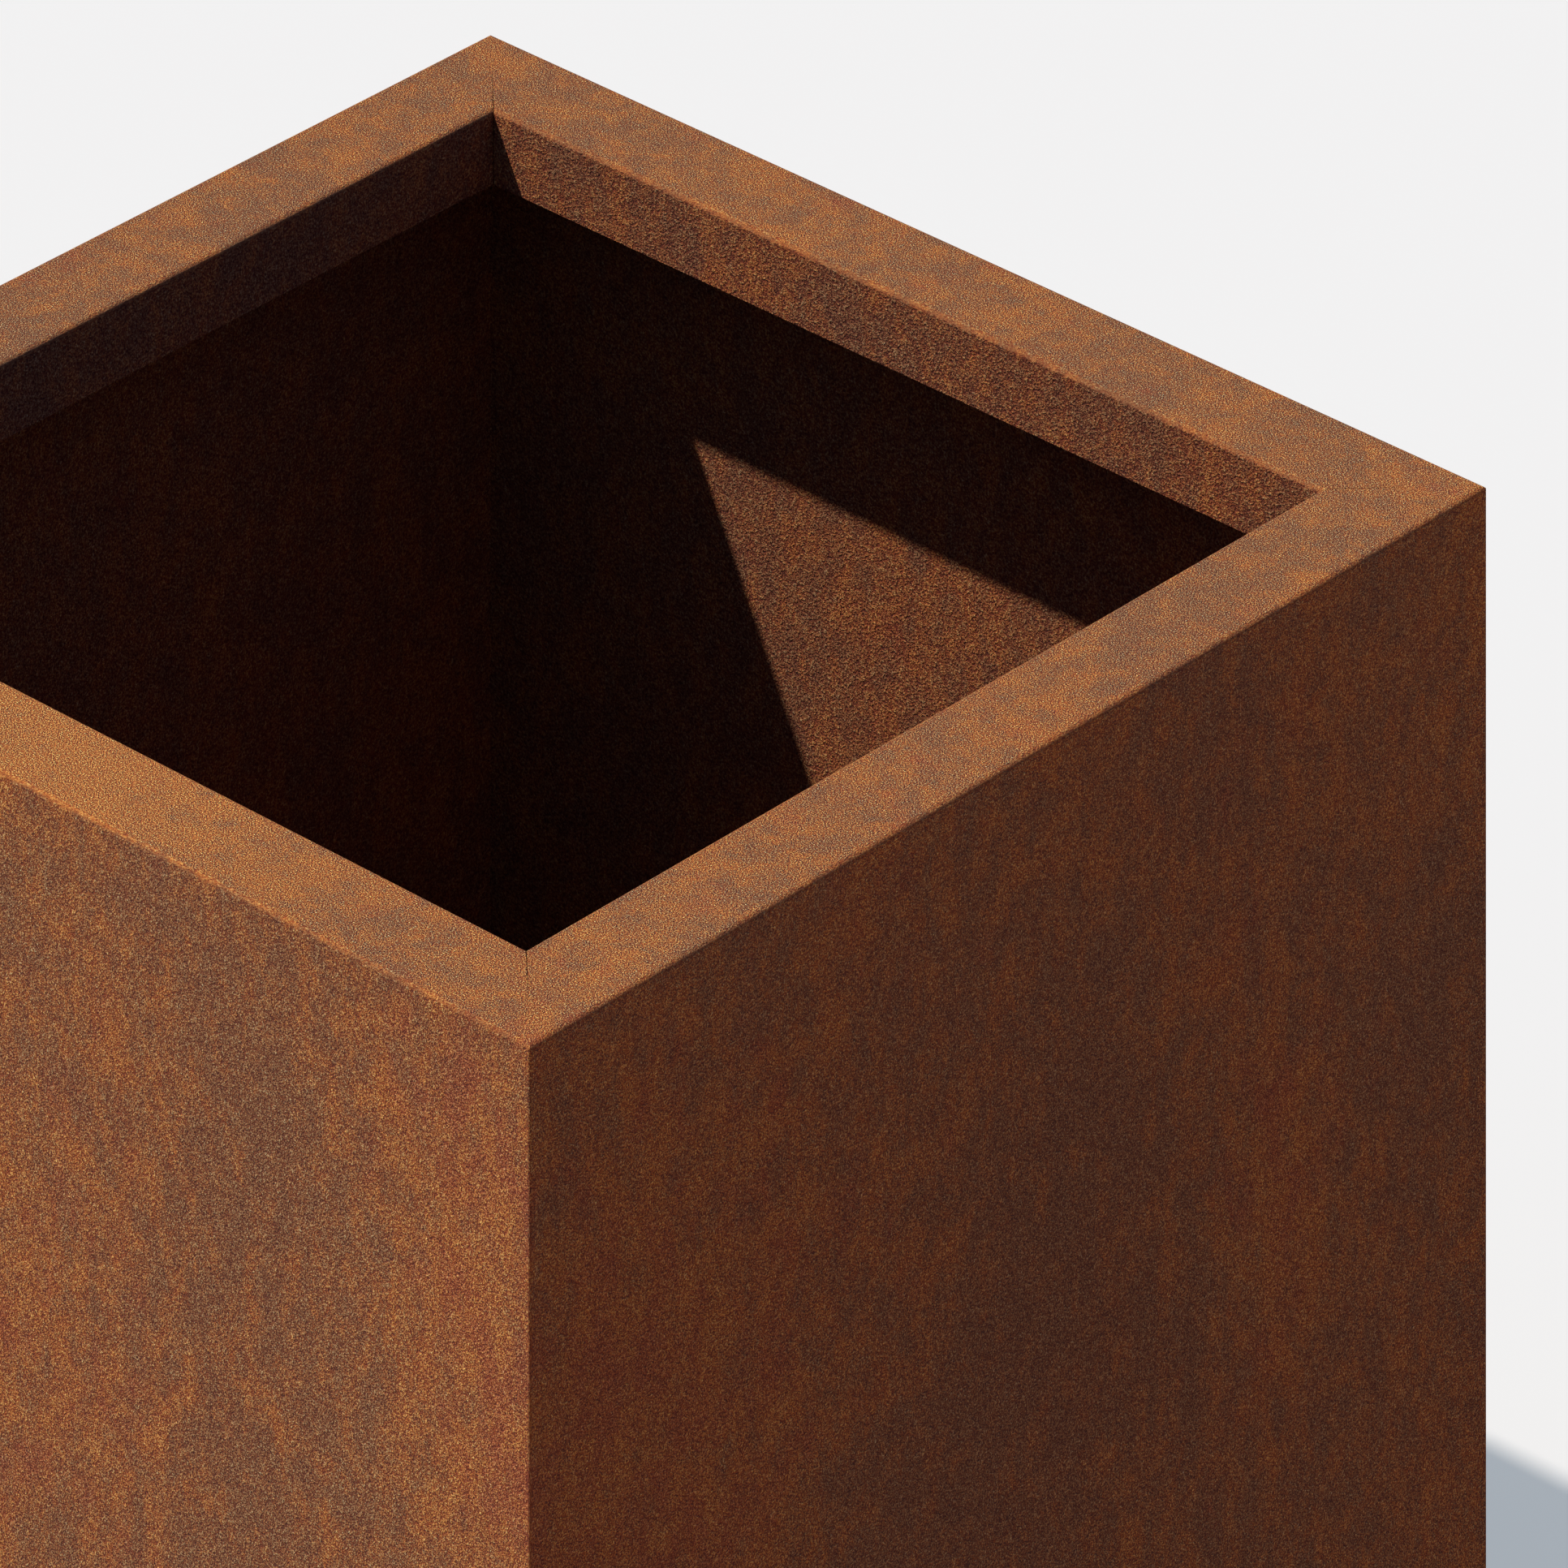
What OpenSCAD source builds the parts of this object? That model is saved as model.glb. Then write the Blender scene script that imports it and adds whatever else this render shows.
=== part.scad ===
// Square planter box in folded weathering-steel sheet, on four levelling feet.
// X runs to the right, Y to the rear and Z up. The origin is on the ground, under the middle of the box.

/* [Box] */
// Outer width of the box, along X
box_w = 700; // [500:10:1000]
// Outer depth of the box, along Y
box_d = 700; // [500:10:1000]
// Height of the walls, from their bottom edge to the top of the rim
box_h = 700; // [400:10:1000]

/* [Wall sheet] */
// Thickness of the wall sheet
sheet_t = 2; // [1.5:0.5:4]
// Inside radius of the bends
bend_r = 1; // [0.5:0.5:3]
// Radius ground onto the welded upright edges
edge_r = 1.5; // [0.5:0.25:3]
// Width of the flat rim
rim_w = 60; // [40:1:90]
// Drop of the lip that hangs from the inner edge of the rim
lip_h = 40; // [15:1:80]
// Width of the inward flange along the bottom edge
flange_w = 25; // [15:1:40]
// Gap of the mitre seams at the inner edge of the rim
seam_gap = 0.5; // [0.2:0.1:1]
// Length of rim, in from the outside of the box, over which the mitre seams are welded shut
seam_weld = 20; // [5:1:35]

/* [Floor] */
// Height of the floor's upper face above the bottom edge of the walls
floor_rise = 70; // [60:1:120]
// Thickness of the floor plate
floor_t = 3; // [2:0.5:6]
// Gap between the floor plate and the walls
floor_gap = 1; // [0.5:0.25:3]
// Diameter of the drain holes
drain_d = 20; // [8:1:40]
// Distance between neighbouring drain holes
drain_pitch = 210; // [150:5:300]

/* [Ledgers] */
// Leg width of the ledger angles
ledger_w = 30; // [20:1:40]
// Leg thickness of the ledger angles
ledger_t = 3; // [2:0.5:5]
// Gap between the end of a ledger and what it runs up to
ledger_gap = 2; // [1:0.5:5]

/* [Floor ribs] */
// Width of the rib channels
rib_w = 40; // [20:1:60]
// Depth of the rib channels
rib_h = 25; // [15:1:30]
// Sheet thickness of the rib channels
rib_t = 2; // [1.5:0.5:4]
// Gap between the rib ends and the ledgers
rib_gap = 0.5; // [0.25:0.25:2]

/* [Foot plates] */
// Side of the square foot plates, from the outside of the box
plate_w = 105; // [95:1:140]
// Thickness of the foot plates
plate_t = 5; // [4:0.5:10]
// Corner cut off the foot plates, towards the middle of the box
plate_cut = 30; // [10:1:50]
// Distance from the outside of the box to the middle of a foot
foot_inset = 62; // [55:1:75]

/* [Levelling feet] */
// Thread diameter of the spindles
thread_d = 12; // [10:1:16]
// Thread pitch, the travel of a spindle in one turn
thread_pitch = 1.75; // [1.25:0.25:2]
// Radial running clearance of the spindles in the nuts and pads
run_gap = 0.05; // [0.02:0.01:0.1]
// Radial clearance of the spindles in the foot plates
hole_gap = 0.75; // [0.5:0.25:2]
// How far the feet screw out
foot_travel = 25; // [10:1:30]
// Thread that stays above the weld nut when a foot is screwed right out
thread_spare = 6; // [3:1:10]
// Size of the nuts and of the spindle hexagon, across the flats
nut_af = 18; // [17:1:24]
// Height of the weld nuts
nut_h = 10; // [8:1:14]
// Height of the lock nuts
lock_h = 6; // [5:1:10]
// Height of the spanner hexagon on a spindle
hex_h = 8; // [5:1:12]
// Diameter of the pads and soles
pad_d = 50; // [45:1:60]
// Height of the pads, without the sole
pad_h = 18; // [15:1:25]
// Thickness of the pad's outer edge
pad_edge = 4; // [2:0.5:6]
// Diameter of the neck of a pad
neck_d = 20; // [16:1:26]
// Straight height of the neck of a pad
neck_h = 5; // [3:0.5:8]
// How far the foot of the neck flares out
neck_flare = 3; // [1:0.5:4]
// Diameter of the pin at the lower end of a spindle
pin_d = 8; // [6:1:9]
// Steel left under the pin in a pad
pin_floor = 5; // [3:0.5:7]
// Gap between a pad's neck and the spindle hexagon
neck_gap = 1; // [0.5:0.25:2]
// Thickness of the rubber soles
sole_t = 4; // [2:0.5:6]

/* [Hidden] */
$fn = 64;

rust = "#a3602f";
dark_rust = "#6d3b22";
steel = "#b9bcc0";
nylon = "#2b2b2d";
rubber = "#1b1b1c";

// Bends
bend_out = bend_r + sheet_t;
// Heights in the feet, from the ground up
pin_base = sole_t + pin_floor;
pad_top = sole_t + pad_h;
hex_base = pad_top + neck_gap;
hex_top = hex_base + hex_h;
plate_base = hex_top + lock_h;
plate_top = plate_base + plate_t;
thread_len = lock_h + plate_t + nut_h + foot_travel + thread_spare;
// Bottom edge of the walls: the foot plates lie on the flanges
base_z = plate_base - sheet_t;
// Floor
floor_top = base_z + floor_rise;
floor_base = floor_top - floor_t;
inside_w = box_w - 2 * sheet_t;
inside_d = box_d - 2 * sheet_t;
// Clear space between the ledgers' legs
clear_w = inside_w - 2 * ledger_w;
clear_d = inside_d - 2 * ledger_w;
// Ribs lie halfway between the rows of drain holes
rib_y = drain_pitch / 2;
// Drain holes on each side of the middle one, as many as the ledgers leave open
drains_x = floor((clear_w - drain_d) / 2 / drain_pitch);
drains_y = floor((clear_d - drain_d) / 2 / drain_pitch);
// Middle of the feet
foot_x = box_w / 2 - foot_inset;
foot_y = box_d / 2 - foot_inset;
FRONT_LEFT = [-1, -1];
FRONT_RIGHT = [1, -1];
REAR_LEFT = [-1, 1];
REAR_RIGHT = [1, 1];
// Radius of a circle round a hexagon whose flats are nut_af apart
hex_r = nut_af / 2 / cos(30);
// Small chamfers, and how much a nut's corners drop for each millimetre they go in
nut_chamfer = 0.8;
nut_slope = 0.6;
// The tip of a spindle is chamfered a little deeper than its thread
thread_chamfer = 0.7 * thread_pitch;
sole_chamfer = 0.8;
// How far a cut runs past the faces it goes through
over = 1;

// ---- Shared shapes ----

// A quarter of a bent sheet, around a centre, in the quarter given by the signs sx and sy.
module bend(cx, cy, sx, sy) {
    translate([cx, cy])
        mirror([sx < 0 ? 1 : 0, 0])
            mirror([0, sy < 0 ? 1 : 0])
                intersection() {
                    difference() {
                        circle(r = bend_out);
                        circle(r = bend_r);
                    }
                    square([bend_out, bend_out]);
                }
}

// Section of a wall: inwards along x, upwards along y, with the outer face at x = 0.
module wall_section() {
    // web
    translate([0, bend_out])
        square([sheet_t, box_h - 2 * bend_out]);
    // bottom flange
    bend(bend_out, bend_out, -1, -1);
    translate([bend_out, 0])
        square([flange_w - bend_out, sheet_t]);
    // rim
    bend(bend_out, box_h - bend_out, -1, 1);
    translate([bend_out, box_h - sheet_t])
        square([rim_w - 2 * bend_out, sheet_t]);
    // lip
    bend(rim_w - bend_out, box_h - bend_out, 1, 1);
    translate([rim_w - sheet_t, box_h - lip_h])
        square([sheet_t, lip_h - bend_out]);
}

// Plan of the box with its rounded upright edges, for a wall of the given length and reach inwards.
// Both ends are cut at 45 degrees where the seams are welded and a little steeper from there, so that
// the seams open towards the inside. The outer face lies on y = 0.
module wall_plan(length, reach) {
    opening = seam_gap / sqrt(2) * (reach - seam_weld) / (rim_w - seam_weld);
    intersection() {
        polygon([
            [-length / 2, 0],
            [length / 2, 0],
            [length / 2 - seam_weld, seam_weld],
            [length / 2 - reach - opening, reach],
            [reach + opening - length / 2, reach],
            [seam_weld - length / 2, seam_weld]
        ]);
        union() {
            translate([-length / 2, edge_r])
                square([length, reach]);
            translate([edge_r - length / 2, 0])
                square([length - 2 * edge_r, reach]);
            for (side = [-1, 1])
                translate([side * (length / 2 - edge_r), edge_r])
                    circle(r = edge_r);
        }
    }
}

// A wall of the given length whose outer face lies on y = 0.
module wall(length) {
    color(rust)
        translate([0, 0, base_z])
            intersection() {
                translate([-length / 2, 0, 0])
                    rotate([90, 0, 90])
                        linear_extrude(length)
                            wall_section();
                linear_extrude(box_h)
                    wall_plan(length, rim_w + over);
            }
}

// A ledger angle of the given length against the inside of a wall whose outer face lies on y = 0.
module ledger(length) {
    root_r = ledger_t;
    color(dark_rust)
        translate([-length / 2, sheet_t, floor_base - ledger_w])
            rotate([90, 0, 90])
                linear_extrude(length) {
                    square([ledger_t, ledger_w]);
                    translate([0, ledger_w - ledger_t])
                        square([ledger_w, ledger_t]);
                    translate([ledger_t, ledger_w - ledger_t - root_r])
                        difference() {
                            square([root_r, root_r]);
                            translate([root_r, 0])
                                circle(r = root_r);
                        }
                }
}

// A channel along X under the floor, open downwards, at the given y.
module floor_rib(y) {
    length = clear_w - 2 * rib_gap;
    color(dark_rust)
        translate([-length / 2, y - rib_w / 2, floor_base - rib_h])
            difference() {
                cube([length, rib_w, rib_h]);
                translate([-over, rib_t, -over])
                    cube([length + 2 * over, rib_w - 2 * rib_t, rib_h - rib_t + over]);
            }
}

// Puts its child over a foot, mirrored so that +x and +y point out to that corner of the box.
module at_foot(corner) {
    translate([corner[0] * foot_x, corner[1] * foot_y, 0])
        mirror([corner[0] < 0 ? 1 : 0, 0, 0])
            mirror([0, corner[1] < 0 ? 1 : 0, 0])
                children();
}

// A hexagonal prism with chamfered corners, standing on z = 0.
module hexagon(height) {
    drop = nut_chamfer * nut_slope;
    intersection() {
        rotate([0, 0, 30])
            cylinder(r = hex_r, h = height, $fn = 6);
        rotate_extrude()
            polygon([
                [0, 0],
                [hex_r - nut_chamfer, 0],
                [hex_r, drop],
                [hex_r, height - drop],
                [hex_r - nut_chamfer, height],
                [0, height]
            ]);
    }
}

// A nut that the spindles run in, standing on z = 0.
module nut(height) {
    difference() {
        hexagon(height);
        translate([0, 0, -over])
            cylinder(r = thread_d / 2 + run_gap, h = height + 2 * over);
    }
}

// ---- Walls ----

module wall_front() {
    translate([0, -box_d / 2, 0])
        wall(box_w);
}

module wall_rear() {
    rotate([0, 0, 180])
        translate([0, -box_d / 2, 0])
            wall(box_w);
}

module wall_left() {
    rotate([0, 0, -90])
        translate([0, -box_w / 2, 0])
            wall(box_d);
}

module wall_right() {
    rotate([0, 0, 90])
        translate([0, -box_w / 2, 0])
            wall(box_d);
}

// ---- Floor ----

module floor_plate() {
    color(dark_rust)
        translate([0, 0, floor_base])
            difference() {
                translate([floor_gap - inside_w / 2, floor_gap - inside_d / 2, 0])
                    cube([inside_w - 2 * floor_gap, inside_d - 2 * floor_gap, floor_t]);
                for (i = [-drains_x:drains_x], j = [-drains_y:drains_y])
                    translate([i * drain_pitch, j * drain_pitch, -over])
                        cylinder(d = drain_d, h = floor_t + 2 * over);
            }
}

module ledger_front() {
    translate([0, -box_d / 2, 0])
        ledger(inside_w - 2 * ledger_gap);
}

module ledger_rear() {
    rotate([0, 0, 180])
        translate([0, -box_d / 2, 0])
            ledger(inside_w - 2 * ledger_gap);
}

module ledger_left() {
    rotate([0, 0, -90])
        translate([0, -box_w / 2, 0])
            ledger(clear_d - 2 * ledger_gap);
}

module ledger_right() {
    rotate([0, 0, 90])
        translate([0, -box_w / 2, 0])
            ledger(clear_d - 2 * ledger_gap);
}

module floor_rib_front() {
    floor_rib(-rib_y);
}

module floor_rib_rear() {
    floor_rib(rib_y);
}

// ---- Feet ----

// A plate that lies in a corner on the flanges of two walls and takes one foot.
module foot_plate(corner) {
    outer = foot_inset - bend_out;
    inner = plate_w - foot_inset;
    color(dark_rust)
        at_foot(corner)
            translate([0, 0, plate_base])
                linear_extrude(plate_t)
                    difference() {
                        polygon([
                            [outer, outer],
                            [-inner, outer],
                            [-inner, plate_cut - inner],
                            [plate_cut - inner, -inner],
                            [outer, -inner]
                        ]);
                        circle(r = thread_d / 2 + hole_gap);
                    }
}

module weld_nuts() {
    color(steel)
        for (corner = [FRONT_LEFT, FRONT_RIGHT, REAR_LEFT, REAR_RIGHT])
            at_foot(corner)
                translate([0, 0, plate_top])
                    nut(nut_h);
}

module lock_nuts() {
    color(steel)
        for (corner = [FRONT_LEFT, FRONT_RIGHT, REAR_LEFT, REAR_RIGHT])
            at_foot(corner)
                translate([0, 0, hex_top])
                    nut(lock_h);
}

// A spindle: the thread, a spanner hexagon, and the plain pin that turns in the pad.
module foot_spindle(corner) {
    thread_tip = hex_top + thread_len;
    color(steel)
        at_foot(corner) {
            translate([0, 0, pin_base])
                cylinder(d = pin_d, h = hex_base - pin_base);
            translate([0, 0, hex_base])
                hexagon(hex_h);
            rotate_extrude()
                polygon([
                    [0, hex_base],
                    [thread_d / 2, hex_base],
                    [thread_d / 2, thread_tip - thread_chamfer],
                    [thread_d / 2 - thread_chamfer, thread_tip],
                    [0, thread_tip]
                ]);
        }
}

// A round swivel pad: a cone that rises to a neck, with a blind hole for the spindle's pin.
module foot_pad(corner) {
    color(nylon)
        at_foot(corner)
            rotate_extrude()
                polygon([
                    [0, sole_t],
                    [pad_d / 2, sole_t],
                    [pad_d / 2, sole_t + pad_edge],
                    [neck_d / 2 + neck_flare, pad_top - neck_h - neck_flare / 2],
                    [neck_d / 2, pad_top - neck_h],
                    [neck_d / 2, pad_top],
                    [pin_d / 2 + run_gap, pad_top],
                    [pin_d / 2 + run_gap, pin_base],
                    [0, pin_base]
                ]);
}

// A rubber sole with a chamfered lower edge.
module foot_sole(corner) {
    color(rubber)
        at_foot(corner)
            rotate_extrude()
                polygon([
                    [0, 0],
                    [pad_d / 2 - sole_chamfer, 0],
                    [pad_d / 2, sole_chamfer],
                    [pad_d / 2, sole_t],
                    [0, sole_t]
                ]);
}

wall_front();
wall_rear();
wall_left();
wall_right();
floor_plate();
ledger_front();
ledger_rear();
ledger_left();
ledger_right();
floor_rib_front();
floor_rib_rear();
foot_plate(FRONT_LEFT);  // foot_plate_front_left
foot_plate(FRONT_RIGHT);  // foot_plate_front_right
foot_plate(REAR_LEFT);  // foot_plate_rear_left
foot_plate(REAR_RIGHT);  // foot_plate_rear_right
weld_nuts();
lock_nuts();
foot_spindle(FRONT_LEFT);  // foot_spindle_front_left
foot_spindle(FRONT_RIGHT);  // foot_spindle_front_right
foot_spindle(REAR_LEFT);  // foot_spindle_rear_left
foot_spindle(REAR_RIGHT);  // foot_spindle_rear_right
foot_pad(FRONT_LEFT);  // foot_pad_front_left
foot_pad(FRONT_RIGHT);  // foot_pad_front_right
foot_pad(REAR_LEFT);  // foot_pad_rear_left
foot_pad(REAR_RIGHT);  // foot_pad_rear_right
foot_sole(FRONT_LEFT);  // foot_sole_front_left
foot_sole(FRONT_RIGHT);  // foot_sole_front_right
foot_sole(REAR_LEFT);  // foot_sole_rear_left
foot_sole(REAR_RIGHT);  // foot_sole_rear_right
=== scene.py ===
"""Looks of a square planter box in weathering steel: rust, feet, weld beads, light, floor and camera."""
import math
import random

import bmesh
import bpy
from mathutils import Matrix, Vector


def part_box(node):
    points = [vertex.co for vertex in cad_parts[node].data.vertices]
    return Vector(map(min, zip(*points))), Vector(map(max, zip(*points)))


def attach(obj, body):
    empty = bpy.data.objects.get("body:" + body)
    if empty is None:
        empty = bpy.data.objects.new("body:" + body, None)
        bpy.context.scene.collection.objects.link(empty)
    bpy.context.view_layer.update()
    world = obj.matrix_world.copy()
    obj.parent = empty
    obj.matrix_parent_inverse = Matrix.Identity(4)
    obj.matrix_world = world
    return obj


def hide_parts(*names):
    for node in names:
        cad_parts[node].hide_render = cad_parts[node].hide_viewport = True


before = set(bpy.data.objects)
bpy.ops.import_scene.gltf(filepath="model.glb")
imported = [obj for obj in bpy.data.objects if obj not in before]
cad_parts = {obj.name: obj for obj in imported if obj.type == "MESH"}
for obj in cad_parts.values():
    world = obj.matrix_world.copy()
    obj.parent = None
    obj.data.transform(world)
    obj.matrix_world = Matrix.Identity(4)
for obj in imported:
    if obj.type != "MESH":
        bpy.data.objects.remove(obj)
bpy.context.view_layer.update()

# ---- Sizes, in metres, from the frame ----

WALL_LOW, WALL_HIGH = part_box("wall_front")
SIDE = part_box("wall_right")[1].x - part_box("wall_left")[0].x
HALF = SIDE / 2
RIM_TOP = WALL_HIGH.z
RIM_WIDTH = WALL_HIGH.y - WALL_LOW.y
SHEET = 0.002
BEND = 0.003
FLANGE_WIDTH = 0.025
FLANGE_TOP = WALL_LOW.z + SHEET
CORNERS = ("front_left", "front_right", "rear_left", "rear_right")

# A face this near to a height lies at it
CLOSE = 0.0001


# ---- Shader sums ----

class Value:
    """A shader socket. Sums, products and powers of it add Math nodes."""

    def __init__(self, finish, socket):
        self.finish = finish
        self.socket = socket

    def _math(self, operation, first, second=0.0):
        node = self.finish.node("ShaderNodeMath", {"operation": operation}, {0: first, 1: second})
        return Value(self.finish, node.outputs[0])

    def __add__(self, other):
        return self._math("ADD", self, other)

    def __sub__(self, other):
        return self._math("SUBTRACT", self, other)

    def __mul__(self, other):
        return self._math("MULTIPLY", self, other)

    def __pow__(self, other):
        return self._math("POWER", self, other)

    def __rsub__(self, other):
        return self._math("SUBTRACT", other, self)

    def __abs__(self):
        return self._math("ABSOLUTE", self)

    __radd__ = __add__
    __rmul__ = __mul__

    def larger(self, other):
        return self._math("MAXIMUM", self, other)

    def step(self, low, high):
        """0 at low and beyond it, 1 at high and beyond it, and smooth between them. Low may be the larger."""
        node = self.finish.node(
            "ShaderNodeMapRange",
            {"interpolation_type": "SMOOTHSTEP"},
            {"Value": self, "From Min": low, "From Max": high},
        )
        return Value(self.finish, node.outputs["Result"])


class Finish:
    """The nodes of a material, or of the world, added one by one."""

    def __init__(self, owner, coordinates="Object"):
        self.owner = owner
        owner.use_nodes = True
        self.tree = owner.node_tree
        self.tree.nodes.clear()
        self.place = Value(self, self.node("ShaderNodeTexCoord").outputs[coordinates])

    def node(self, kind, settings=None, inputs=None):
        """Adds a node, sets its settings, then fills or links its inputs, named or numbered."""
        node = self.tree.nodes.new(kind)
        for name, value in (settings or {}).items():
            setattr(node, name, value)
        for key, value in (inputs or {}).items():
            if isinstance(value, Value):
                self.tree.links.new(value.socket, node.inputs[key])
            else:
                node.inputs[key].default_value = value
        return node

    def axes(self):
        """The x, y and z of the place on the object."""
        node = self.node("ShaderNodeSeparateXYZ", None, {0: self.place})
        return [Value(self, output) for output in node.outputs]

    def stretched(self, factors):
        """The place on the object, with each axis multiplied by its factor."""
        node = self.node("ShaderNodeVectorMath", {"operation": "MULTIPLY"}, {0: self.place, 1: factors})
        return Value(self, node.outputs[0])

    def noise(self, cell, detail=2.0, roughness=0.5, stretch=(1, 1, 1), warp=0.0):
        """Soft noise from 0 to 1 with cells of that size. A small stretch draws them out along its axis."""
        node = self.node(
            "ShaderNodeTexNoise",
            {"noise_dimensions": "3D"},
            {
                "Vector": self.stretched(stretch),
                "Scale": 1 / cell,
                "Detail": detail,
                "Roughness": roughness,
                "Distortion": warp,
            },
        )
        return Value(self, node.outputs[0])

    def near(self, point, size, height):
        """1 at a point, falling softly to 0 at that distance sideways and that height up or down."""
        squash = Vector((1, 1, size / height))
        node = self.node(
            "ShaderNodeVectorMath",
            {"operation": "DISTANCE"},
            {0: self.stretched(squash), 1: Vector(point) * squash},
        )
        return Value(self, node.outputs["Value"]).step(size, size * 0.1)

    def mix(self, share, first, second, blend="MIX"):
        """A colour between two colours."""
        node = self.node(
            "ShaderNodeMix",
            {"data_type": "RGBA", "blend_type": blend, "clamp_factor": True},
            {0: share, 6: first, 7: second},
        )
        return Value(self, node.outputs[2])

    def tinted(self, colour, tint, share=1.0):
        """The colour multiplied by a tint, where the share is 1."""
        return self.mix(share, colour, tint, "MULTIPLY")

    def colour(self, red, green, blue):
        """A colour whose parts vary."""
        node = self.node("ShaderNodeCombineColor", None, {0: red, 1: green, 2: blue})
        return Value(self, node.outputs[0])

    def bump(self, height, distance):
        """A normal tilted by a height that varies, 1 of it standing for that distance in metres."""
        node = self.node("ShaderNodeBump", None, {"Height": height, "Distance": distance})
        return Value(self, node.outputs[0])

    def surface(self, **sockets):
        """Fills the Principled shader's sockets and gives back the finished material."""
        names = {
            name.replace("_", " ").title().replace("Ior", "IOR"): value
            for name, value in sockets.items()
        }
        self.output(self.node("ShaderNodeBsdfPrincipled", None, names))
        return self.owner

    def output(self, shader, kind="ShaderNodeOutputMaterial"):
        """Links a shader to the output of the material or the world."""
        self.node(kind, None, {"Surface": Value(self, shader.outputs[0])})


def new_finish(name):
    return Finish(bpy.data.materials.new(name))


def rgb(red, green, blue):
    return (red, green, blue, 1.0)


# ---- Rust ----

RUST_GREY = rgb(0.172, 0.0575, 0.0172)
RUST_ORANGE = rgb(0.290, 0.077, 0.0122)
RUST_RED = rgb(0.220, 0.043, 0.0104)
# Tints of the inside, a painted shade that makes it darker and redder, and of the flat top of the rim,
# lighter and warmer
INSIDE_SHADE_TINT = rgb(0.94, 0.82, 0.80)
RIM_TOP_TINT = rgb(1.20, 1.14, 1.00)

# Sizes of the grains of the crust, outside and inside, and of its marks, from the smallest to the largest
GRAIN = 0.00075
COARSE_GRAIN = 0.0011
SPECKS = 0.0008
CRUMBS = 0.0026
MOTTLE = 0.016
BLUSH = 0.024
PATCHES = 0.085
CLOUDS = 0.21
# Rain draws the marks out downwards
DRAWN_DOWN = (1, 1, 0.6)

# How deep the crust's grain is, and how much of it is lost on the bends
CRUST_DEPTH = 0.0027
WEAR = 0.42
# Places that rain reached more, or less: a point, how far it spreads sideways and up, and how much
STAINS = (
    ((HALF, -0.27, 0.44), 0.17, 0.52, 0.055),
    ((HALF, 0.19, 0.44), 0.09, 0.13, 0.060),
    ((HALF, HALF, 0.67), 0.12, 0.18, 0.045),
    ((HALF, 0.01, 0.43), 0.17, 0.25, -0.045),
    ((HALF, 0.12, 0.68), 0.12, 0.10, -0.020),
    ((0.16, -HALF, 0.50), 0.12, 0.40, -0.025),
    ((0.00, -HALF, 0.55), 0.07, 0.30, 0.010),
)
# The cleaner, more golden stretch of the rim: a point, and how far it spreads sideways and up
GOLDEN = ((-0.05, -HALF, RIM_TOP), 0.37, 0.05)


def rim_flat(z):
    """1 on the flat top of the rim."""
    return z.step(RIM_TOP - BEND * 0.7, RIM_TOP - BEND * 0.1)


def bends(x, y, z):
    """1 along the middle of the rim's outer and inner bends."""
    reach = abs(x).larger(abs(y))
    start, full = BEND * 0.8, BEND * 0.6
    top = z.step(RIM_TOP - start, RIM_TOP - full)
    outer = reach.step(HALF - start, HALF - full)
    inner = reach.step(HALF - RIM_WIDTH + start, HALF - RIM_WIDTH + full)
    return top * (outer + inner)


def inner_faces(x, y, z):
    """1 on all that lies deeper than the middle of the wall sheet and below the rim."""
    start, full = HALF - SHEET * 0.4, HALF - SHEET * 0.6
    return abs(x).step(start, full) * abs(y).step(start, full) * z.step(RIM_TOP - BEND / 6, RIM_TOP - BEND)


def worn_down(height, worn):
    """A height from 0 to 1, brought towards its middle where it is worn."""
    return height * (1 - worn) + worn * 0.5


def patchy(finish, mottle, stain, golden):
    """Grey-brown rust with orange patches, and with red ones over them."""
    specks = finish.noise(SPECKS, 2.0, 0.7)
    blush = finish.noise(BLUSH, 5.0, 0.76, DRAWN_DOWN, warp=0.3)
    patches = finish.noise(PATCHES, 3.0, 0.55, DRAWN_DOWN)
    clouds = finish.noise(CLOUDS, 2.0, 0.5, (1, 1, 0.7))
    orange = specks * 0.27 + mottle * 0.46 + patches * 0.17 + clouds * 0.10 + stain + golden * 0.09
    red = specks * -0.20 + blush * 0.50 + clouds * 0.15 + stain + 0.28
    colour = finish.mix(orange.step(0.43, 0.59), RUST_GREY, RUST_ORANGE)
    return finish.mix(red.step(0.53, 0.63) * 0.8, colour, RUST_RED)


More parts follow.
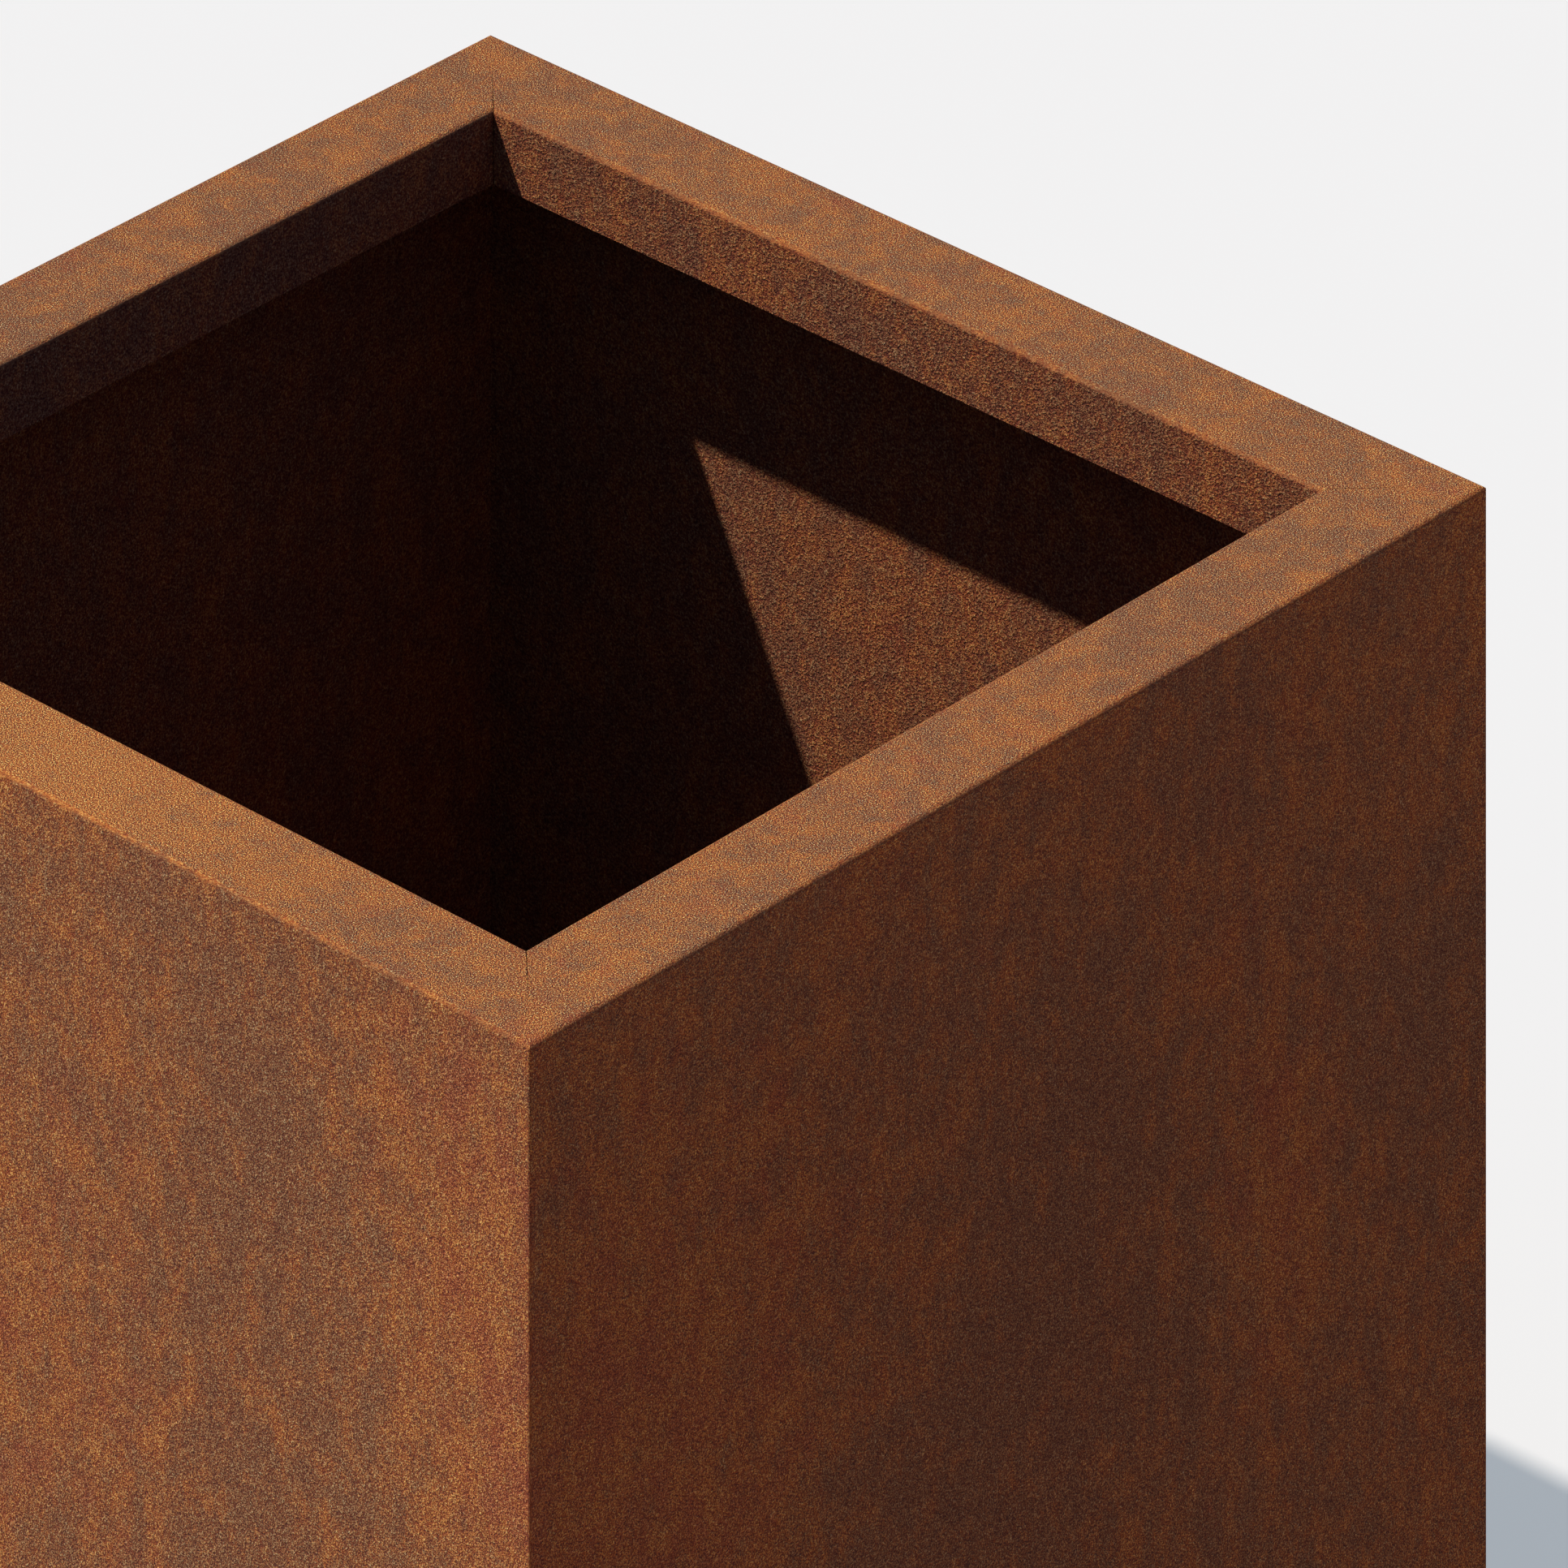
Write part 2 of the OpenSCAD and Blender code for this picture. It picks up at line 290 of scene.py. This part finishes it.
def rust(name, shade_tone=1.0):
    """Weathered steel: a rough, grainy crust in grey-brown, with soft orange and red patches."""
    finish = new_finish(name)
    x, y, z = finish.axes()
    flat = rim_flat(z)
    golden = finish.near(*GOLDEN) * flat
    stain = sum(finish.near(point, spread, height) * amount for point, spread, height, amount in STAINS)

    # Hands and rain keep the bends smoother. The crust inside is coarser, and it is tinted redder as painted
    # shade.
    worn = bends(x, y, z) * WEAR
    inside = inner_faces(x, y, z)
    grain = finish.noise(GRAIN, 1.0, 0.6) * (1 - inside) + finish.noise(COARSE_GRAIN, 2.0, 0.6) * inside
    grain = worn_down(grain, worn)
    crumbs = worn_down(finish.noise(CRUMBS, 2.0, 0.6, (1, 1, 0.8)), worn)
    mottle = finish.noise(MOTTLE, 5.0, 0.76, DRAWN_DOWN, warp=0.3)
    colour = patchy(finish, mottle, stain, golden)

    # Dark grains are redder and light ones paler, because green and blue fall off faster than red
    light = (grain - 0.5) * (flat * 0.6 + 1.65) + crumbs * 0.15 + mottle * 0.06 + stain * 0.45
    light = (light + golden * 0.04 - worn * 0.11 + 0.895) ** 2.6
    tint = finish.colour(light, light ** 2.0 * (1 + worn * 0.50), light ** 2.7 * (1 + worn * 0.90))
    colour = finish.tinted(colour, tint)
    # Painted shade: the inside, which stands mostly in shade, is tinted darker and redder
    colour = finish.tinted(colour, INSIDE_SHADE_TINT, inside)
    # The flat top of the rim is tinted lighter and warmer
    colour = finish.tinted(colour, RIM_TOP_TINT, flat)
    # A shade tone below 1 darkens the whole copy: painted shade
    colour = finish.tinted(colour, rgb(shade_tone, shade_tone, shade_tone))

    return finish.surface(
        base_color=colour,
        roughness=0.82 + grain * 0.15,
        specular_ior_level=0.3,
        normal=finish.bump((grain + crumbs * 0.22) * (1 + inside * 0.4), CRUST_DEPTH),
    )


# ---- Other finishes ----

def plain(name, colour, roughness, metallic=0.0, cell=0.0008, depth=0.00003):
    """A finish with a fine, even grain of that cell size and depth."""
    finish = new_finish(name)
    grain = finish.noise(cell, 2.0, 0.6)
    cloud = finish.noise(0.01, 2.0, 0.5)
    shade = 0.9 + cloud * 0.2
    return finish.surface(
        base_color=finish.tinted(colour, finish.colour(shade, shade, shade)),
        roughness=roughness + (cloud - 0.5) * 0.2,
        metallic=metallic,
        normal=finish.bump(grain, depth),
    )


# ---- Modelling by hand ----

def only(piece):
    """Selects one piece and makes it the active one."""
    bpy.ops.object.select_all(action="DESELECT")
    piece.select_set(True)
    bpy.context.view_layer.objects.active = piece


def settle(piece):
    """Puts the piece's place, turn and size into its mesh."""
    only(piece)
    bpy.ops.object.transform_apply(location=True, rotation=True, scale=True)


def cylinder(radius, base, top, sides=64):
    """A round bar standing on the origin's upright, from one height to another."""
    bpy.ops.mesh.primitive_cylinder_add(
        vertices=sides, radius=radius, depth=top - base, location=(0, 0, (base + top) / 2)
    )
    piece = bpy.context.object
    settle(piece)
    return piece


def edit(piece):
    """Enters edit mode on one piece, with nothing selected."""
    only(piece)
    bpy.ops.object.mode_set(mode="EDIT")
    bpy.ops.mesh.select_all(action="DESELECT")


def done():
    bpy.ops.object.mode_set(mode="OBJECT")


def pick(piece, kind, test):
    """In edit mode, selects the edges or faces whose middle passes the test, and nothing else."""
    bpy.ops.mesh.select_mode(type={"edges": "EDGE", "faces": "FACE"}[kind])
    bpy.ops.mesh.select_all(action="DESELECT")
    mesh = bmesh.from_edit_mesh(piece.data)
    for part in getattr(mesh, kind):
        middle = sum((corner.co for corner in part.verts), Vector()) / len(part.verts)
        if test(middle):
            part.select = True
    mesh.select_flush_mode()
    bmesh.update_edit_mesh(piece.data)


def pull_up(distance):
    """Extrudes what is selected straight up, or down where the distance is negative."""
    bpy.ops.mesh.extrude_region_move(TRANSFORM_OT_translate={"value": (0, 0, distance)})


def cut_off(height, **side):
    """In edit mode, cuts the whole shape level at a height and closes the cut."""
    bpy.ops.mesh.select_all(action="SELECT")
    bpy.ops.mesh.bisect(
        plane_co=(0, 0, height), plane_no=(0, 0, 1), use_fill=True, threshold=0.000001, **side
    )


def modify(piece, kind, **settings):
    """Adds a modifier and applies it."""
    modifier = piece.modifiers.new(kind.lower(), kind)
    for name, value in settings.items():
        setattr(modifier, name, value)
    only(piece)
    bpy.ops.object.modifier_apply(modifier=modifier.name)


def combine(piece, tool, operation):
    """Joins, cuts or meets two closed shapes, and uses the second one up."""
    modify(piece, "BOOLEAN", object=tool, operation=operation, solver="EXACT")
    bpy.data.objects.remove(tool)


def soften(piece, width, segments, from_degrees):
    """Rounds the edges whose faces turn by more than that many degrees."""
    modify(
        piece, "BEVEL", width=width, segments=segments,
        limit_method="ANGLE", angle_limit=math.radians(from_degrees),
    )


def smooth(piece):
    only(piece)
    bpy.ops.object.shade_smooth_by_angle(angle=math.radians(30))


def copy_at(piece, name, place):
    """A copy with its own mesh, moved to a place."""
    copy = piece.copy()
    copy.data = piece.data.copy()
    copy.name = name
    copy.data.transform(place)
    bpy.context.scene.collection.objects.link(copy)
    return copy


def dress(piece, material):
    """Gives the whole piece one material."""
    piece.data.materials.clear()
    piece.data.materials.append(material)
    for face in piece.data.polygons:
        face.material_index = 0


# ---- Feet ----

SOLE_LOW, SOLE_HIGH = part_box("foot_sole_front_left")
SPINDLE_LOW, SPINDLE_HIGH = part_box("foot_spindle_front_left")
PAD_RADIUS = (SOLE_HIGH.x - SOLE_LOW.x) / 2
ROUND_SIDES = 96

SOLE_TOP = SOLE_HIGH.z
TREAD_RINGS = 4
TREAD_LAND = 0.0032
TREAD_GROOVE = 0.0016
TREAD_DEPTH = 0.0012

PAD_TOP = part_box("foot_pad_front_left")[1].z
PAD_EDGE = 0.004
PAD_LEDGE = 0.0015
FLARE_STEPS = 10
# Powers that draw the flare in from a quarter ellipse, sideways and upwards
FLARE_IN = 1.15
FLARE_UP = 1.1
NECK_RADIUS = 0.010
NECK_HEIGHT = 0.0055
PIN_RADIUS = 0.004
PIN_HOLE_RADIUS = 0.00405

HEX_BASE = PAD_TOP + 0.001
HEX_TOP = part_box("lock_nuts")[0].z
HEX_ACROSS = 0.018
HEX_RADIUS = HEX_ACROSS / 2 / math.cos(math.radians(30))
HEX_CHAMFER = 0.0011
# A coarse metric thread: its crest is an eighth of the pitch wide
THREAD_RADIUS = 0.006
THREAD_PITCH = 0.00175
THREAD_DEPTH = 0.6134 * THREAD_PITCH
THREAD_CREST = 1 / 8
TIP_CHAMFER = 0.0013
# How far the screw and the pin reach into the hexagon
SCREW_ROOT = 0.0005
PIN_ROOT = 0.001


def foot_axis(corner):
    """The point on the ground below the middle of a foot."""
    low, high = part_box(f"foot_sole_{corner}")
    return Vector(((low.x + high.x) / 2, (low.y + high.y) / 2, 0))


def sole():
    """A rubber disc with ring grooves in its tread."""
    disc = cylinder(PAD_RADIUS, 0, SOLE_TOP, ROUND_SIDES)
    edit(disc)
    pick(disc, "faces", lambda middle: middle.z < CLOSE)
    for _ring in range(TREAD_RINGS):
        bpy.ops.mesh.inset(thickness=TREAD_LAND)
        bpy.ops.mesh.inset(thickness=TREAD_GROOVE)

    def in_groove(middle):
        inwards = PAD_RADIUS - middle.xy.length
        ring = inwards % (TREAD_LAND + TREAD_GROOVE)
        return middle.z < CLOSE and ring > TREAD_LAND and inwards < TREAD_RINGS * (TREAD_LAND + TREAD_GROOVE)

    pick(disc, "faces", in_groove)
    pull_up(TREAD_DEPTH)
    done()
    soften(disc, width=0.0003, segments=2, from_degrees=30)
    smooth(disc)
    return disc


def pad():
    """A moulded pad: a rounded rim, a hollow flare that rises to the neck, and a hole for the pin."""
    height = SOLE_TOP + PAD_EDGE
    radius = PAD_RADIUS - PAD_LEDGE
    body = cylinder(PAD_RADIUS, SOLE_TOP, height, ROUND_SIDES)
    edit(body)
    pick(body, "faces", lambda middle: middle.z > SOLE_TOP + PAD_EDGE - CLOSE)
    bpy.ops.mesh.inset(thickness=PAD_LEDGE)
    rise = PAD_TOP - NECK_HEIGHT - height
    for step in range(1, FLARE_STEPS + 1):
        turn = step / FLARE_STEPS * math.pi / 2
        wanted = PAD_RADIUS - PAD_LEDGE - (PAD_RADIUS - PAD_LEDGE - NECK_RADIUS) * math.sin(turn) ** FLARE_IN
        lift = SOLE_TOP + PAD_EDGE + rise * (1 - math.cos(turn)) ** FLARE_UP - height
        pull_up(lift)
        bpy.ops.transform.resize(value=(wanted / radius, wanted / radius, 1))
        radius = wanted
        height += lift
    pull_up(PAD_TOP - height)
    bpy.ops.mesh.inset(thickness=NECK_RADIUS - PIN_HOLE_RADIUS)
    pull_up(SPINDLE_LOW.z - PAD_TOP)
    done()
    soften(body, width=0.0006, segments=3, from_degrees=50)
    smooth(body)
    return body


def turned_bar(radius, base, top, chamfer):
    """A round bar with both ends chamfered."""
    bar = cylinder(radius, base, top, ROUND_SIDES)
    edit(bar)
    middle = (base + top) / 2
    pick(bar, "edges", lambda place: abs(place.z - middle) > (top - base) * 0.49)
    bpy.ops.mesh.bevel(offset=chamfer, offset_type="OFFSET", segments=1)
    done()
    return bar


def thread(base, top):
    """A threaded bar: one V ridge wound up into a screw, cut off at both ends and chamfered at its tip."""
    middle = THREAD_RADIUS - THREAD_DEPTH / 2
    bpy.ops.mesh.primitive_plane_add(
        size=1, location=(middle, 0, base - THREAD_PITCH), rotation=(math.pi / 2, 0, 0)
    )
    bar = bpy.context.object
    bar.scale = (THREAD_DEPTH, THREAD_PITCH, 1)
    settle(bar)
    edit(bar)
    pick(bar, "edges", lambda place: place.x > middle + THREAD_DEPTH / 4)
    bpy.ops.transform.resize(value=(1, 1, THREAD_CREST))
    pick(bar, "edges", lambda place: place.x < middle - THREAD_DEPTH / 4)
    bpy.ops.mesh.delete(type="EDGE")
    done()
    turns = math.ceil((top - base) / THREAD_PITCH) + 2
    modify(
        bar, "SCREW", axis="Z", angle=math.tau, screw_offset=THREAD_PITCH, iterations=turns,
        steps=40, render_steps=40,
    )
    edit(bar)
    bpy.ops.mesh.select_all(action="SELECT")
    bpy.ops.mesh.remove_doubles(threshold=0.000002)
    cut_off(base, clear_inner=True)
    cut_off(top, clear_outer=True)
    bpy.ops.mesh.select_all(action="SELECT")
    bpy.ops.mesh.normals_make_consistent(inside=False)
    done()
    slack = 0.0001
    turned = turned_bar(THREAD_RADIUS + slack, base - 10 * slack, top + slack, TIP_CHAMFER)
    combine(bar, turned, "INTERSECT")
    return bar


def hexagon(base, top):
    """A hexagonal bar with turned corners."""
    bar = cylinder(HEX_RADIUS, base, top, 6)
    slack = 0.0002
    turned = turned_bar(HEX_RADIUS * 0.998, base - slack, top + slack, HEX_CHAMFER)
    combine(bar, turned, "INTERSECT")
    return bar


def spindle():
    """The threaded spindle, its spanner hexagon and its pin, in one."""
    rod = thread(HEX_TOP - SCREW_ROOT, SPINDLE_HIGH.z)
    combine(rod, hexagon(HEX_BASE, HEX_TOP), "UNION")
    combine(rod, cylinder(PIN_RADIUS, SPINDLE_LOW.z, HEX_BASE + PIN_ROOT), "UNION")
    smooth(rod)
    return rod


def feet(rubber, nylon, stainless):
    """Puts a sole, a pad and a spindle on each foot's axis, in place of the plain ones."""
    kinds = (
        ("sole", sole(), "foot_sole", "pad", "rubber", rubber),
        ("pad", pad(), "foot_pad", "pad", "nylon", nylon),
        ("spindle", spindle(), "foot_spindle", "spindle", "stainless_steel", stainless),
    )
    for kind, pattern, node, body, slot, material in kinds:
        dress(pattern, material)
        for corner in CORNERS:
            piece = copy_at(pattern, f"{kind}_{corner}", Matrix.Translation(foot_axis(corner)))
            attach(piece, f"{body}_{corner}")
            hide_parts(f"{node}_{corner}")
        bpy.data.objects.remove(pattern)


# ---- Weld beads ----

BEAD_RADIUS = 0.0024
# From one ripple of a bead to the next, and how far each leans forwards
RIPPLE = 0.0016
RIPPLE_LEAN = 0.35
# How wide a bead is between its ripples and at its ends, and over what length it tapers to them
BEAD_WAIST = 0.90
BEAD_START = 0.40
BEAD_TAPER = 0.005
LEDGER_BEAD = 0.040
RIB_BEAD = 0.030
PLATE_BEAD = 0.030
# How far the middle of a bead lies from the corner that it fills, sideways and down
LEDGER_BEAD_OUT = 0.0012
LEDGER_BEAD_DOWN = 0.0004
RIB_BEAD_OFF = 0.0006
PLATE_BEAD_OFF = 0.0008
# Where the stitches lie along the ledgers and the ribs, and how far in from the corners on the plates
LEDGER_SPOTS = (-0.24, 0.0, 0.24)
RIB_SPOTS = (-0.255, -0.085, 0.085, 0.255)
PLATE_SPOT = 0.075


def bead(length):
    """A weld bead along X: a round bar with ripples, thinner at its start and its end."""
    bpy.ops.mesh.primitive_circle_add(
        vertices=12, radius=BEAD_RADIUS, fill_type="NGON",
        location=(-length / 2, 0, 0), rotation=(0, -math.pi / 2, 0),
    )
    bar = bpy.context.object
    settle(bar)
    edit(bar)
    bpy.ops.mesh.select_all(action="SELECT")
    rings = 2 * round(length / RIPPLE)
    width = 1.0
    for ring in range(rings + 1):
        on_ripple = ring % 2 == 1
        to_end = min(ring, rings - ring) * length / rings
        taper = min(1, BEAD_START + (1 - BEAD_START) * to_end / BEAD_TAPER)
        wanted = taper * (1.0 if on_ripple else BEAD_WAIST)
        if ring:
            forward = length / rings * (1 + RIPPLE_LEAN if on_ripple else 1 - RIPPLE_LEAN)
            bpy.ops.mesh.extrude_region_move(TRANSFORM_OT_translate={"value": (forward, 0, 0)})
        bpy.ops.transform.resize(value=(1, wanted / width, wanted / width))
        width = wanted
    bpy.ops.mesh.select_all(action="SELECT")
    bpy.ops.mesh.normals_make_consistent(inside=False)
    done()
    smooth(bar)
    return bar


def stitches(name, places, length, material):
    """One piece of many beads: each place is a point, and the way the bead runs: "x" or "y"."""
    pattern = bead(length)
    runs = []
    for point, way in places:
        turn = Matrix.Rotation(math.pi / 2 if way == "y" else 0, 4, "Z")
        flip = Matrix.Rotation(random.choice((0, math.pi)), 4, "Z")
        runs.append(copy_at(pattern, name, Matrix.Translation(point) @ turn @ flip))
    bpy.data.objects.remove(pattern)
    only(runs[0])
    for run in runs:
        run.select_set(True)
    bpy.ops.object.join()
    piece = bpy.context.object
    piece.name = name
    dress(piece, material)
    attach(piece, "planter")


def ledger_welds(material):
    """Three stitches along the lower leg of each ledger, where it meets the wall."""
    across = HALF - SHEET - LEDGER_BEAD_OUT
    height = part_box("ledger_front")[0].z - LEDGER_BEAD_DOWN
    places = []
    for along in LEDGER_SPOTS:
        for side in (-1, 1):
            places.append(((along, side * across, height), "x"))
            places.append(((side * across, along, height), "y"))
    stitches("ledger_welds", places, LEDGER_BEAD, material)


def rib_welds(material):
    """Four stitches along both edges of each rib, where it meets the floor."""
    places = []
    for rib in ("floor_rib_front", "floor_rib_rear"):
        low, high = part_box(rib)
        for edge in (low.y - RIB_BEAD_OFF, high.y + RIB_BEAD_OFF):
            for along in RIB_SPOTS:
                places.append(((along, edge, high.z - RIB_BEAD_OFF), "x"))
    stitches("rib_welds", places, RIB_BEAD, material)


def foot_plate_welds(material):
    """Two stitches on each foot plate, along the edges of the flange that it lies on."""
    across = HALF - FLANGE_WIDTH - PLATE_BEAD_OFF
    along = HALF - PLATE_SPOT
    height = FLANGE_TOP - PLATE_BEAD_OFF
    places = []
    for x_side in (-1, 1):
        for y_side in (-1, 1):
            places.append(((x_side * along, y_side * across, height), "x"))
            places.append(((x_side * across, y_side * along, height), "y"))
    stitches("foot_plate_welds", places, PLATE_BEAD, material)


# ---- Stage ----

# The way the sunlight travels
SUN_TRAVEL = Vector((0.565, 0.455, -1.0))
SUN_POWER = 6.3
SUN_SPREAD = math.radians(1.2)
SUN_COLOUR = (1.0, 0.985, 0.96)
FLOOR_BASE = rgb(0.309, 0.282, 0.256)
FLOOR_GLOW = rgb(0.337, 0.371, 0.384)
BACKDROP_GLOW = rgb(0.888, 0.888, 0.888)
STAGE_RADIUS = 40.0
SKY = rgb(0.16, 0.215, 0.40)
SHADY_GROUND = rgb(0.80, 0.42, 0.214)
SUNNY_GROUND = rgb(1.17, 0.95, 0.76)


def plain_floor():
    """A pale floor that glows a little, so that shadows on it stay light."""
    bpy.ops.mesh.primitive_circle_add(vertices=96, radius=STAGE_RADIUS, fill_type="NGON")
    floor = bpy.context.object
    floor.name = "floor"
    dress(floor, new_finish("pale_floor").surface(
        base_color=FLOOR_BASE,
        roughness=1.0,
        specular_ior_level=0.0,
        emission_color=FLOOR_GLOW,
        emission_strength=1.0,
    ))
    floor.visible_diffuse = False


def plain_backdrop():
    """A pale dome that only the camera sees, in the colour of the lit floor."""
    bpy.ops.mesh.primitive_uv_sphere_add(segments=64, ring_count=32, radius=STAGE_RADIUS)
    dome = bpy.context.object
    dome.name = "backdrop"
    finish = new_finish("pale_backdrop")
    finish.output(finish.node("ShaderNodeEmission", None, {"Color": BACKDROP_GLOW}))
    dress(dome, finish.owner)
    dome.visible_diffuse = False
    dome.visible_glossy = False
    dome.visible_transmission = False
    dome.visible_volume_scatter = False
    dome.visible_shadow = False


def soft_light():
    """Weak, cool light from above and stronger, warmer light off the ground, most of it on the sunny side."""
    world = bpy.data.worlds.new("soft_light")
    finish = Finish(world, "Generated")
    x, y, z = finish.axes()
    sunny = (x * -SUN_TRAVEL.x + y * -SUN_TRAVEL.y).step(-0.5, 0.5)
    ground = finish.mix(sunny, SHADY_GROUND, SUNNY_GROUND)
    glow = finish.mix(z.step(-0.02, 0.02), ground, SKY)
    finish.output(finish.node("ShaderNodeBackground", None, {"Color": glow}), "ShaderNodeOutputWorld")
    bpy.context.scene.world = world


def key_light():
    """A small, bright light from the front left."""
    key = bpy.data.lights.new("key", "SUN")
    key.energy = SUN_POWER
    key.angle = SUN_SPREAD
    key.color = SUN_COLOUR
    lamp = bpy.data.objects.new("key", key)
    lamp.rotation_mode = "QUATERNION"
    lamp.rotation_quaternion = SUN_TRAVEL.to_track_quat("-Z", "Y")
    bpy.context.scene.collection.objects.link(lamp)


# The camera's place, from the middle of the box at rim height, in widths of the box
CAMERA_RIGHT, CAMERA_FRONT, CAMERA_UP = 7.2326, 7.5288, 5.3730
CAMERA_HEADING = math.radians(42.762)
CAMERA_PITCH = math.atan(0.5340)
CAMERA_LENS = 376.92


def upright_camera():
    """A long lens looking down whose picture plane stands upright, as on a camera with a rising front.
    The uprights of the box then stay parallel. A holder wider one way than the other gives the slant."""
    half_angle = (math.pi / 2 - CAMERA_PITCH) / 2
    holder = bpy.data.objects.new("camera_holder", None)
    holder.location = (CAMERA_RIGHT * SIDE, -CAMERA_FRONT * SIDE, RIM_TOP + CAMERA_UP * SIDE)
    holder.rotation_euler = (math.pi / 2 + half_angle, 0, CAMERA_HEADING)
    holder.scale = (1, math.sqrt(2) * math.cos(half_angle), math.sqrt(2) * math.sin(half_angle))
    camera = bpy.data.objects.new("camera", bpy.data.cameras.new("camera"))
    camera.data.lens = CAMERA_LENS
    camera.data.clip_end = 5 * STAGE_RADIUS
    camera.rotation_euler = (-math.pi / 4, 0, 0)
    camera.parent = holder
    for thing in (holder, camera):
        bpy.context.scene.collection.objects.link(thing)
    bpy.context.scene.camera = camera


# ---- Build ----

upright_camera()
plain_floor()
plain_backdrop()
soft_light()
key_light()
bpy.context.scene.view_settings.view_transform = "Standard"

outer_rust = rust("weathering_steel")
# The floor, ledgers and foot plates, inside and under the box, get a copy a fifth darker: painted shade
inner_rust = rust("weathering_steel_inner", 0.8)
stainless_steel = plain("stainless_steel", rgb(0.55, 0.54, 0.52), 0.38, 0.9)
black_nylon = plain("nylon", rgb(0.03, 0.03, 0.032), 0.55)
black_rubber = plain("rubber", rgb(0.018, 0.018, 0.018), 0.85)
weld_metal = plain("weld_metal", rgb(0.085, 0.048, 0.030), 0.60, 0.35, 0.0016, 0.0001)

feet(black_rubber, black_nylon, stainless_steel)

random.seed(7)
ledger_welds(weld_metal)
rib_welds(weld_metal)
foot_plate_welds(weld_metal)

# The plain soles, pads and spindles are hidden, so they stay as they are
for name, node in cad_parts.items():
    if name.startswith("wall"):
        dress(node, outer_rust)
    elif name in ("weld_nuts", "lock_nuts"):
        dress(node, stainless_steel)
    elif name.startswith(("floor", "ledger", "foot_plate")):
        dress(node, inner_rust)
